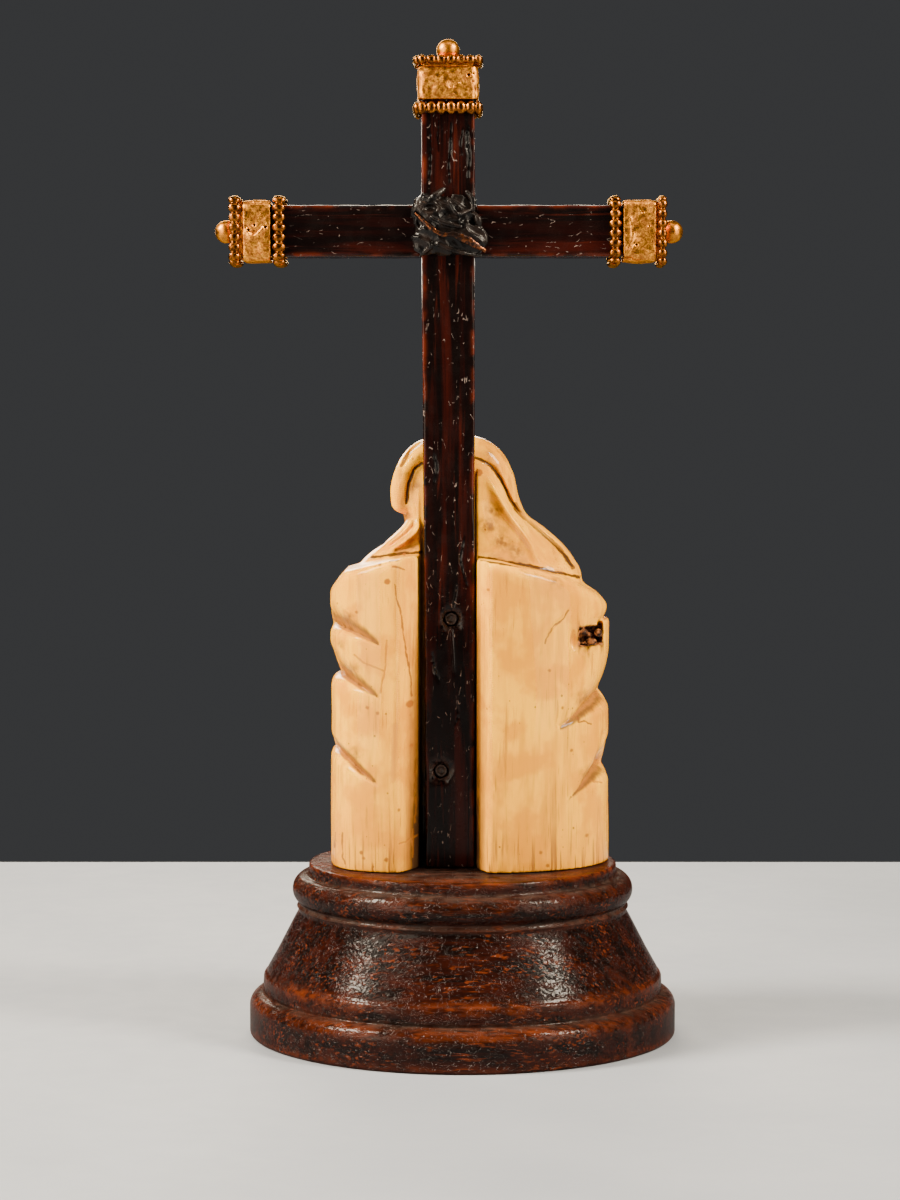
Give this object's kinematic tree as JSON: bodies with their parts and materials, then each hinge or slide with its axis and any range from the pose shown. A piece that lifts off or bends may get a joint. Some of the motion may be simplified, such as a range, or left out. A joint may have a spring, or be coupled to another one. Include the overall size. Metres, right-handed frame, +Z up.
{
  "type": "carved ivory pieta on a wooden plinth with a cross",
  "caption": "Carved ivory Pieta standing on a turned wooden plinth, with a dark wooden cross with gilt caps set in a groove down its back.",
  "frame": {"origin": "centre of the plinth's underside, on its turning axis", "axes": "+Z up; -Y is the back of the group, where the cross stands; +Y is the side that the figures face; the beam of the cross runs along X"},
  "size_m": [0.1205, 0.1122, 0.2586],
  "materials": {
    "ivory": "aged ivory, polished, with brown dirt in the cuts",
    "turned_wood": "red-brown varnish, crackled and worn orange at the edges",
    "cross_wood": "near-black varnish with oxblood wear",
    "gilt_metal": "gilt, mottled and worn",
    "mastic": "black, glossy, lumpy",
    "iron": "dark, rusted"
  },
  "bodies": {
    "root": {"plinth": "turned_wood", "pieta": "ivory", "cross_upright": "cross_wood", "cross_beam": "cross_wood", "crossing_mastic": "mastic", "crossing_wire": "iron", "nail_upper": "iron", "nail_lower": "iron", "top_cap_sleeve": "gilt_metal", "top_cap_inner_wire": "gilt_metal", "top_cap_outer_wire": "gilt_metal", "top_cap_knob": "gilt_metal", "left_cap_sleeve": "gilt_metal", "left_cap_inner_wire": "gilt_metal", "left_cap_outer_wire": "gilt_metal", "left_cap_knob": "gilt_metal", "right_cap_sleeve": "gilt_metal", "right_cap_inner_wire": "gilt_metal", "right_cap_outer_wire": "gilt_metal", "right_cap_knob": "gilt_metal"}
  },
  "joints": []
}
